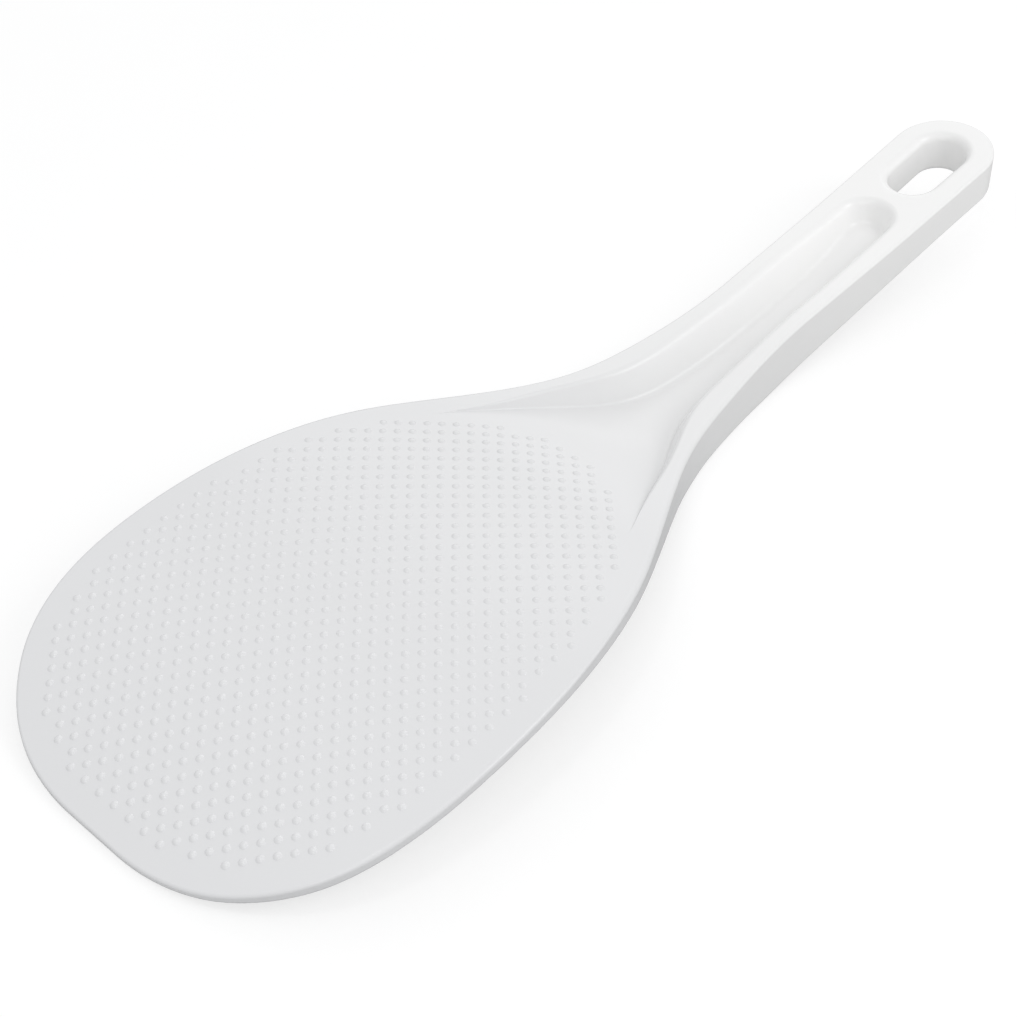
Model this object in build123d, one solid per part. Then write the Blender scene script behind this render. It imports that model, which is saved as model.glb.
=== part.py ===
from build123d import *
import math
import os

os.makedirs("parts", exist_ok=True)

# A plain moulded rice paddle, lying as it rests on a table.
# Millimetres. X runs from the blade's front edge to the handle's end, Y is across, Z is up.
# The origin is on the table, under the middle of the paddle's length.
# While the shape is drawn, x is counted from the blade's front edge.
# The real paddle is one moulding. Its four regions are written as solids that meet face to face.

# Overall sizes
overall_length = 196.4
blade_half_width = 36.1
handle_end_height = 17.1
front_straight_half = 5.0
end_radius = 8.95
waist_half_width = 8.27

# The outline seen from above: share of the overall length, share of the blade's half width
outline_shares = [
    (0.0033, 0.332),
    (0.0179, 0.566),
    (0.0428, 0.749),
    (0.0617, 0.838),
    (0.0876, 0.916),
    (0.1265, 0.976),
    (0.1892, 1.000),
    (0.2609, 0.973),
    (0.3277, 0.897),
    (0.3844, 0.785),
    (0.4322, 0.650),
    (0.48, 0.505),
    (0.5358, 0.364),
    (0.5976, 0.284),
    (0.6474, 0.246),
]
# The handle widens evenly from its waist to the round end
waist_share = 0.7101

# The rim's top seen from the side: share of the overall length, share of the handle end's height
top_line_shares = [
    (0.0, 0.0672),
    (0.0368, 0.2194),
    (0.0697, 0.337),
    (0.1105, 0.4537),
    (0.1673, 0.5584),
    (0.2311, 0.6227),
    (0.2958, 0.6474),
    (0.3595, 0.6256),
    (0.4083, 0.5703),
    (0.4561, 0.506),
    (0.5039, 0.4616),
    (0.5358, 0.4487),
    (0.5687, 0.4527),
    (0.6324, 0.5001),
    (0.73, 0.6197),
    (0.8266, 0.7393),
    (0.9232, 0.8856),
    (1.0, 1.0),
]

# The underside seen from the side, in the same shares: an arch under the blade, a flat stretch
# under the neck that rests on the table, then the handle. The front edge starts below the table,
# so that its rounded corner just touches it.
blade_underside_shares = [
    (0.0, -0.0119),
    (0.0368, 0.1166),
    (0.0697, 0.2244),
    (0.1096, 0.339),
    (0.1663, 0.4418),
    (0.2311, 0.5031),
    (0.2948, 0.5021),
    (0.3595, 0.4458),
    (0.4073, 0.3509),
    (0.4551, 0.1957),
    (0.5029, 0.0672),
    (0.5414, 0.0),
]
handle_underside_shares = [
    (0.6436, 0.0),
    (0.728, 0.1166),
    (0.8256, 0.3054),
    (0.9222, 0.4853),
    (1.0, 0.6108),
]
# How steeply the underside climbs at the front edge and at the handle's end
front_edge_rise = 0.35
handle_end_rise = 0.15

# The trough between the two rims: share of the overall length, share of the blade's half width
# at the foot of the wall, share of the handle end's height at the floor, and how much of the
# foot's and of the brim's full rounding is there
trough_shares = [
    (0.3984, 0.600, 0.591, 0.2, 0.05),
    (0.4263, 0.535, 0.5406, 0.2, 0.08),
    (0.4541, 0.455, 0.4695, 0.2, 0.2),
    (0.48, 0.385, 0.3874, 0.25, 0.35),
    (0.5039, 0.320, 0.3084, 0.3, 0.5),
    (0.5298, 0.240, 0.2333, 0.4, 0.6),
    (0.5498, 0.178, 0.1937, 0.5, 0.7),
    (0.5697, 0.130, 0.172, 0.7, 0.8),
    (0.5995, 0.095, 0.1641, 0.9, 0.9),
    (0.6314, 0.079, 0.1779, 1.0, 1.0),
    (0.6802, 0.0650, 0.2313, 1.0, 1.0),
    (0.729, 0.0620, 0.2935, 1.0, 1.0),
    (0.7758, 0.0640, 0.3608, 1.0, 1.0),
    (0.8097, 0.069, 0.4428, 1.0, 1.0),
    (0.8426, 0.078, 0.5416, 1.0, 1.0),
]
trough_wall_lean = 28.0
trough_foot_radius = 1.4
trough_brim_radius = 1.6
# The brim's rounding stops this many degrees short of the rim's top and runs out from there
brim_rest = 8.0
brim_run_out = 1.0
# The wall keeps this height where the trough has run out above the face
least_wall = 0.3

# The hanging hole, a slot with round ends that narrows towards the underside
hole_length = 17.2
hole_half_width = 4.6
hole_end_wall = 4.5
hole_wall_lean = 5.0

# Rounded edges
outer_edge_radius = 0.5
hole_top_radius = 1.5
hole_bottom_radius = 0.7

# The field of small round dots on the blade's face, set in rows that are staggered by half a step
dot_spacing = 3.145
dot_radius = 0.58
dot_height = 0.22
first_dot_place = 4.25
dot_field_margin = 3.7
dot_field_end = 91.5
dot_field_end_bow = 38.0

# Where the regions meet
blade_end = 94.0
neck_end_share = 0.6436
eye_bridge = 2.2

# How far cutting bodies run past the faces that they cut
overrun = 5.0

# Both ends of a curve keep their given direction at the same strength
even_strength = (1, 1)
# The finest difference that tells two places apart
same_place = 0.03
# Points along a curve, to look up a height or a distance
curve_steps = 400

hole_end = overall_length - hole_end_wall
hole_start = hole_end - hole_length
reach = blade_half_width + overrun
across_x = (0, 1, 0)
along_x = (1, 0, 0)


def at_shares(pairs, x_size, y_size):
    return [(x * x_size, y * y_size) for x, y in pairs]


def points_along(curve):
    return [curve @ (i / curve_steps) for i in range(curve_steps + 1)]


def height_on(points, x):
    for a, b in zip(points, points[1:]):
        if a.X <= x <= b.X:
            return a.Y + (b.Y - a.Y) * (x - a.X) / (b.X - a.X)
    return points[-1].Y


def handle_side():
    """The end and the direction of the handle's straight side, which runs into the round end."""
    waist = waist_share * overall_length
    along = overall_length - end_radius - waist
    to_centre = math.hypot(along, waist_half_width)
    angle = math.asin(end_radius / to_centre) - math.atan2(waist_half_width, along)
    length = math.sqrt(to_centre**2 - end_radius**2)
    way = (math.cos(angle), math.sin(angle))
    return (waist + length * way[0], waist_half_width + length * way[1]), way


def mirrored(point):
    return (point[0], -point[1])


def side_curve():
    """The far side of the outline, from the front edge to the handle's waist."""
    way = handle_side()[1]
    side = at_shares(outline_shares, overall_length, blade_half_width)
    points = [(0, front_straight_half)] + side + [(waist_share * overall_length, waist_half_width)]
    return points, way


def outline():
    """The whole paddle seen from above."""
    far, far_way = side_curve()
    near = [mirrored(point) for point in far]
    far_end = handle_side()[0]
    with BuildSketch() as plan:
        with BuildLine():
            Line(near[0], far[0])
            Spline(far, tangents=[(0, 1), far_way], tangent_scalars=even_strength)
            Line(far[-1], far_end)
            ThreePointArc(far_end, (overall_length, 0), mirrored(far_end))
            Line(near[-1], mirrored(far_end))
            Spline(near, tangents=[(0, -1), mirrored(far_way)], tangent_scalars=even_strength)
        make_face()
    return plan.sketch


def side_profile():
    """The whole paddle seen from the side, without its trough."""
    top = at_shares(top_line_shares, overall_length, handle_end_height)
    arch = at_shares(blade_underside_shares, overall_length, handle_end_height)
    rise = at_shares(handle_underside_shares, overall_length, handle_end_height)
    with BuildSketch(Plane.XZ) as side:
        with BuildLine():
            Spline(top)
            Line(top[-1], rise[-1])
            Spline(rise, tangents=[(1, 0), (1, handle_end_rise)], tangent_scalars=even_strength)
            Line(arch[-1], rise[0])
            Spline(arch, tangents=[(1, front_edge_rise), (1, 0)], tangent_scalars=even_strength)
            Line(arch[0], top[0])
        make_face()
    return side.sketch


def slice_plane(x, tilt=0):
    """A plane across the paddle, through the rim's top line."""
    way = (math.cos(tilt), 0, math.sin(tilt))
    return Plane((x, 0, height_on(top_points, x)), x_dir=across_x, z_dir=way)


def trough_outline(x, foot, floor, foot_radius, brim_radius):
    """The right half of one slice of the trough; heights count from the rim's top line."""
    lean = math.radians(trough_wall_lean)
    rest = math.radians(brim_rest)
    turn = math.pi / 2 - lean
    back = foot_radius * math.tan(turn / 2)
    bottom = floor - height_on(top_points, x)
    level = max(0, bottom + least_wall)
    brim = foot + (level - bottom) * math.tan(lean)
    top_back = brim_radius * math.tan(turn / 2)

    def on_foot(angle):
        return (
            foot - back + foot_radius * math.sin(angle),
            bottom + foot_radius * (1 - math.cos(angle)),
        )

    def on_brim(angle):
        return (
            brim + top_back - brim_radius * math.sin(angle),
            level - brim_radius * (1 - math.cos(angle)),
        )

    end = on_brim(rest)
    out = (end[0] + brim_run_out * math.cos(rest), end[1] + brim_run_out * math.sin(rest))
    above = (out[0], level + overrun)
    foot_arc = [on_foot(0), on_foot(turn / 2), on_foot(turn)]
    brim_arc = [on_brim(turn), on_brim((turn + rest) / 2), end]
    return foot_arc, brim_arc, out, above


def across(point):
    return (-point[0], point[1])


def trough_section(place, tilt=0):
    """One slice of the trough, with leaning walls, a rounded foot and a rounded brim."""
    foot_arc, brim_arc, out, above = trough_outline(*place)
    with BuildSketch(slice_plane(place[0], tilt)) as cut:
        with BuildLine():
            Line(across(foot_arc[0]), foot_arc[0])
            ThreePointArc(*foot_arc)
            Line(foot_arc[-1], brim_arc[0])
            ThreePointArc(*brim_arc)
            Line(brim_arc[-1], out)
            Line(out, above)
            Line(above, across(above))
            Line(across(above), across(out))
            Line(across(out), across(brim_arc[-1]))
            ThreePointArc(*[across(point) for point in reversed(brim_arc)])
            Line(across(brim_arc[0]), across(foot_arc[-1]))
            ThreePointArc(*[across(point) for point in reversed(foot_arc)])
        make_face()
    return cut.sketch


def trough_places():
    return [
        (
            x * overall_length,
            foot * blade_half_width,
            floor * handle_end_height,
            foot_share * trough_foot_radius,
            brim_share * trough_brim_radius,
        )
        for x, foot, floor, foot_share, brim_share in trough_shares
    ]


def cut_trough(whole):
    """Cuts the trough, which ends in a half round towards the hanging hole."""
    places = trough_places()
    end = places[-1][0]
    rise = height_on(top_points, end + overrun) - height_on(top_points, end)
    tilt = math.atan2(rise, overrun)
    last = trough_section(places[-1], tilt)
    sections = [trough_section(place) for place in places[:-1]] + [last]
    end_plane = slice_plane(end, tilt)
    half_last = last & (end_plane * Pos(reach, 0) * Rectangle(reach * 2, reach * 2))
    round_end = revolve(half_last, Axis(end_plane.origin, end_plane.y_dir), revolution_arc=-180)
    return whole - loft(sections) - round_end


def cut_hole(whole):
    """Cuts the slot that the paddle hangs from."""
    middle = (hole_start + hole_end) / 2
    mouth = Plane((middle, 0, handle_end_height)) * SlotOverall(hole_length, hole_half_width * 2)
    down = extrude(mouth, amount=-handle_end_height, taper=hole_wall_lean)
    up = extrude(mouth, amount=overrun)
    return whole - down - up


def new_edges(after, before):
    old = [edge @ 0.5 for edge in before.edges()]
    return [
        edge
        for edge in after.edges()
        if all((edge @ 0.5 - point).length > same_place for point in old)
    ]


def is_upright(edge):
    return abs((edge % 0.5).Z) > 0.9


def is_on_top(edge):
    middle = edge @ 0.5
    return abs(middle.Z - height_on(top_points, middle.X)) < same_place


def goes_around(edge):
    """Tells the edges that run around the body from the upright ones and those across its underside."""
    middle = edge @ 0.5
    runs_across = abs((edge % 0.5).Y) > 0.999 and abs(middle.Y) < same_place
    at_an_end = middle.X < same_place or middle.X > overall_length - same_place
    return not is_upright(edge) and (at_an_end or not runs_across)


def dot_places():
    """The dots' middles: staggered rows, kept clear of the blade's edge."""
    points, way = side_curve()
    curve = Spline(points, tangents=[(0, 1), way], tangent_scalars=even_strength)
    side_points = points_along(curve)
    edge_points = side_points + [Vector(0, 0), Vector(0, front_straight_half / 2)]
    floor_points = points_along(Spline([place[0:3:2] for place in trough_places()]))
    places = []
    row = 0
    x = first_dot_place
    while x <= dot_field_end:
        y = dot_spacing / 2 if row % 2 else 0
        while y < height_on(side_points, x):
            end_here = dot_field_end - dot_field_end_bow * (y / blade_half_width) ** 2
            clear = min((Vector(x, y) - point).length for point in edge_points)
            if clear >= dot_field_margin and x <= end_here:
                z = height_on(top_points, x)
                if x > floor_points[0].X:
                    z = min(z, height_on(floor_points, x))
                places += [(x, side * y, z) for side in ((1, -1) if y else (1,))]
            y += dot_spacing
        row += 1
        x = first_dot_place + row * dot_spacing / 2
    return places


def region(whole, start, end):
    """The stretch of the paddle between two places along its length."""
    block = Pos((start + end) / 2, 0, handle_end_height / 2) * Box(
        end - start, reach * 2, handle_end_height + overrun * 2
    )
    return whole & block


top_points = points_along(Spline(at_shares(top_line_shares, overall_length, handle_end_height)))

# The plain body: the outline carried up, kept between the top line and the underside
body = extrude(Pos(0, 0, -overrun) * outline(), amount=handle_end_height + overrun * 2) & extrude(
    Pos(0, reach, 0) * side_profile(), amount=reach * 2
)
body = fillet([edge for edge in body.edges() if goes_around(edge)], outer_edge_radius)

# The trough between the rims
body = cut_trough(body)

# The hanging hole, rounded at both mouths
plain = body
body = cut_hole(plain)
mouths = [edge for edge in new_edges(body, plain) if not is_upright(edge)]
body = fillet([edge for edge in mouths if not is_on_top(edge)], hole_bottom_radius)
body = fillet([edge for edge in new_edges(body, plain) if is_on_top(edge)], hole_top_radius)

# The dots are the caps of small balls that are sunk into the blade, each ball's seam turned down
ball_radius = (dot_radius**2 + dot_height**2) / (2 * dot_height)
ball = Rot(0, 90, 0) * Sphere(ball_radius)
ball_lift = dot_height - ball_radius
dots = [Pos(x, y, z + ball_lift) * ball for x, y, z in dot_places()]

neck_end = neck_end_share * overall_length
eye_start = hole_start - eye_bridge
regions = {
    "blade": region(body, -overrun, blade_end) + dots,
    "neck": region(body, blade_end, neck_end),
    "handle": region(body, neck_end, eye_start),
    "hanging_eye": region(body, eye_start, overall_length + overrun),
}
for name, shape in regions.items():
    export_step(Pos(-overall_length / 2, 0, 0) * shape, "parts/" + name + ".step")
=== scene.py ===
import bpy
from mathutils import Matrix, Vector

# A plain white rice paddle on a pale floor. Lengths are in metres, colours are linear red, green, blue.
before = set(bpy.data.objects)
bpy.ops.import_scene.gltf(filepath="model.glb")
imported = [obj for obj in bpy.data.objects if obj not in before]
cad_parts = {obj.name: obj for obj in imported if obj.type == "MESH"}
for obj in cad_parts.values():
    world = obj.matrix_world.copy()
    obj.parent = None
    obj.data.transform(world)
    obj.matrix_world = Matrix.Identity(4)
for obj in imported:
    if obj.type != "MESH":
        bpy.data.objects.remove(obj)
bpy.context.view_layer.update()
scene = bpy.context.scene

# The plastic's white with painted shade, greyer along the blade and whiter on the handle; each tone
# with its share of the way from the blade's front to the handle's end
tones_with_painted_shade = (
    (0.05, (0.858, 0.860, 0.870)),
    (0.42, (0.806, 0.807, 0.814)),
    (0.60, (0.888, 0.888, 0.887)),
    (0.78, (0.968, 0.966, 0.960)),
)
painted_shade_half_length = 0.0975
cloud_colour = (0.70, 0.70, 0.72)
cloud_most = 0.05
roughness_low = 0.20
roughness_high = 0.28
skin_strength = 0.05
skin_depth = 0.0002
plastic_ior = 1.49

# Each pattern's scale and detail
cloud_pattern = (30.0, 3.0)
gloss_pattern = (90.0, 4.0)
skin_pattern = (700.0, 2.0)
paper_pattern = (60.0, 3.0)

# The floor's greys: the first pair lights the paddle, the second is what the camera sees
paper_lit = ((0.52, 0.52, 0.52), (0.56, 0.56, 0.56))
paper_seen = ((0.93, 0.93, 0.93), (0.95, 0.95, 0.95))
paper_glow = 1.12
paper_glow_share = 0.6
floor_size = 8
floor_drop = 0.0001

room_colour = (0.99, 0.995, 1.0)
room_strength = 0.66


def new_material(name):
    material = bpy.data.materials.new(name)
    material.use_nodes = True
    nodes = material.node_tree.nodes
    nodes.clear()
    return material, nodes, material.node_tree.links


def noise(nodes, links, place, pattern):
    scale, detail = pattern
    node = nodes.new("ShaderNodeTexNoise")
    node.inputs["Scale"].default_value = scale
    node.inputs["Detail"].default_value = detail
    links.new(place, node.inputs["Vector"])
    return node.outputs["Fac"]


def mix_colour(nodes, links, share, first, second):
    """Mix two colours, each a plain colour or another node's output."""
    node = nodes.new("ShaderNodeMix")
    node.data_type = "RGBA"
    share_socket, first_socket, second_socket = node.inputs[0], node.inputs[6], node.inputs[7]
    for socket, colour in ((first_socket, first), (second_socket, second)):
        if isinstance(colour, tuple):
            socket.default_value = (*colour, 1)
        else:
            links.new(colour, socket)
    links.new(share, share_socket)
    return node.outputs[2]


def spread(nodes, links, value, low, high, from_low=0.0, from_high=1.0):
    """Stretch a value to run from low to high."""
    node = nodes.new("ShaderNodeMapRange")
    node.inputs["From Min"].default_value = from_low
    node.inputs["From Max"].default_value = from_high
    node.inputs["To Min"].default_value = low
    node.inputs["To Max"].default_value = high
    links.new(value, node.inputs["Value"])
    return node.outputs["Result"]


def tone_and_painted_shade_along(nodes, links, place):
    """The plastic's colour along the paddle, with painted shade: light grey on the blade, whiter on the
    handle.
    """
    parts = nodes.new("ShaderNodeSeparateXYZ")
    links.new(place, parts.inputs["Vector"])
    along = spread(nodes, links, parts.outputs["X"], 0.0, 1.0, -painted_shade_half_length, painted_shade_half_length)
    ramp = nodes.new("ShaderNodeValToRGB")
    steps = ramp.color_ramp.elements
    steps.remove(steps[1])
    steps[0].position = tones_with_painted_shade[0][0]
    steps[0].color = (*tones_with_painted_shade[0][1], 1)
    for where, tone in tones_with_painted_shade[1:]:
        steps.new(where).color = (*tone, 1)
    links.new(along, ramp.inputs["Fac"])
    return ramp.outputs["Color"]


def white_plastic():
    """Satin white plastic, faintly cloudy, with painted shade along its length and a fine moulded skin.
    """
    material, nodes, links = new_material("white_plastic_look")
    out = nodes.new("ShaderNodeOutputMaterial")
    shell = nodes.new("ShaderNodeBsdfPrincipled")
    place = nodes.new("ShaderNodeTexCoord").outputs["Object"]

    # Painted shade: the base colour is greyer on the blade and whiter on the handle
    body_with_painted_shade = tone_and_painted_shade_along(nodes, links, place)
    veil = spread(nodes, links, noise(nodes, links, place, cloud_pattern), 0.0, cloud_most)
    links.new(mix_colour(nodes, links, veil, body_with_painted_shade, cloud_colour), shell.inputs["Base Color"])

    gloss = noise(nodes, links, place, gloss_pattern)
    links.new(spread(nodes, links, gloss, roughness_low, roughness_high), shell.inputs["Roughness"])

    skin = nodes.new("ShaderNodeBump")
    skin.inputs["Strength"].default_value = skin_strength
    skin.inputs["Distance"].default_value = skin_depth
    links.new(noise(nodes, links, place, skin_pattern), skin.inputs["Height"])
    links.new(skin.outputs["Normal"], shell.inputs["Normal"])

    shell.inputs["IOR"].default_value = plastic_ior
    links.new(shell.outputs["BSDF"], out.inputs["Surface"])
    return material


def pale_floor():
    """White paper that keeps a soft shadow. Only the camera sees its glow and its paler greys."""
    material, nodes, links = new_material("paper")
    out = nodes.new("ShaderNodeOutputMaterial")
    place = nodes.new("ShaderNodeTexCoord").outputs["Object"]
    seen = nodes.new("ShaderNodeLightPath").outputs["Is Camera Ray"]
    grain = noise(nodes, links, place, paper_pattern)
    dim = mix_colour(nodes, links, grain, *paper_lit)
    bright = mix_colour(nodes, links, grain, *paper_seen)
    paper = nodes.new("ShaderNodeBsdfDiffuse")
    links.new(mix_colour(nodes, links, seen, dim, bright), paper.inputs["Color"])
    glow = nodes.new("ShaderNodeEmission")
    glow.inputs["Strength"].default_value = paper_glow
    mix = nodes.new("ShaderNodeMixShader")
    paper_socket, glow_socket = mix.inputs[1], mix.inputs[2]
    links.new(spread(nodes, links, seen, 0.0, paper_glow_share), mix.inputs["Fac"])
    links.new(paper.outputs["BSDF"], paper_socket)
    links.new(glow.outputs["Emission"], glow_socket)
    links.new(mix.outputs["Shader"], out.inputs["Surface"])
    return material


def softbox(name, place, aim, width, height, watts):
    light = bpy.data.lights.new(name, "AREA")
    light.shape = "RECTANGLE"
    light.size = width
    light.size_y = height
    light.energy = watts
    lamp = bpy.data.objects.new(name, light)
    bpy.context.collection.objects.link(lamp)
    lamp.location = place
    lamp.rotation_euler = (Vector(aim) - Vector(place)).to_track_quat("-Z", "Y").to_euler()


plastic = white_plastic()
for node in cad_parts.values():
    for slot in node.material_slots:
        slot.material = plastic

# The floor lies a little below the paddle's flat underside, so that the two don't share a plane
bpy.ops.mesh.primitive_plane_add(size=floor_size, location=(0, 0, -floor_drop))
floor = bpy.context.object
floor.name = "floor"
floor.data.materials.append(pale_floor())

# The room's even light
world = bpy.data.worlds.new("room")
scene.world = world
world.use_nodes = True
world_nodes = world.node_tree.nodes
world_links = world.node_tree.links
world_nodes.clear()
world_out = world_nodes.new("ShaderNodeOutputWorld")
even = world_nodes.new("ShaderNodeBackground")
even.inputs["Color"].default_value = (*room_colour, 1)
even.inputs["Strength"].default_value = room_strength
world_links.new(even.outputs["Background"], world_out.inputs["Surface"])

softbox("front", (-0.42, -0.28, 0.50), aim=(0.03, 0, 0), width=0.34, height=0.34, watts=0.46)
softbox("back", (0.62, 0.50, 0.48), aim=(-0.02, 0, 0), width=0.60, height=0.60, watts=0.96)
softbox("near side", (0.26, -0.28, 0.12), aim=(0.08, 0, 0.01), width=0.22, height=0.14, watts=0.12)
softbox("near top", (0.18, -0.36, 0.36), aim=(0.05, 0, 0), width=0.20, height=0.20, watts=0.44)
softbox("spark", (-0.12, 0.02, 0.30), aim=(-0.05, -0.01, 0), width=0.04, height=0.04, watts=0.05)

# The photograph's own viewpoint, as the directions of the camera's axes and the place where it stands
camera = bpy.data.objects.new("camera", bpy.data.cameras.new("camera"))
bpy.context.collection.objects.link(camera)
right = Vector((0.693282, -0.720236, -0.024889))
up = Vector((0.496838, 0.452657, 0.740442))
back = Vector((-0.522027, -0.525701, 0.67166))
stand = Vector((-0.170701, -0.151517, 0.198616))
camera.matrix_world = Matrix(
    (
        (right.x, up.x, back.x, stand.x),
        (right.y, up.y, back.y, stand.y),
        (right.z, up.z, back.z, stand.z),
        (0, 0, 0, 1),
    )
)
camera.data.sensor_width = 36
camera.data.lens = 68.531
camera.data.clip_start = 0.01
camera.data.clip_end = 50
scene.camera = camera
scene.view_settings.view_transform = "Standard"
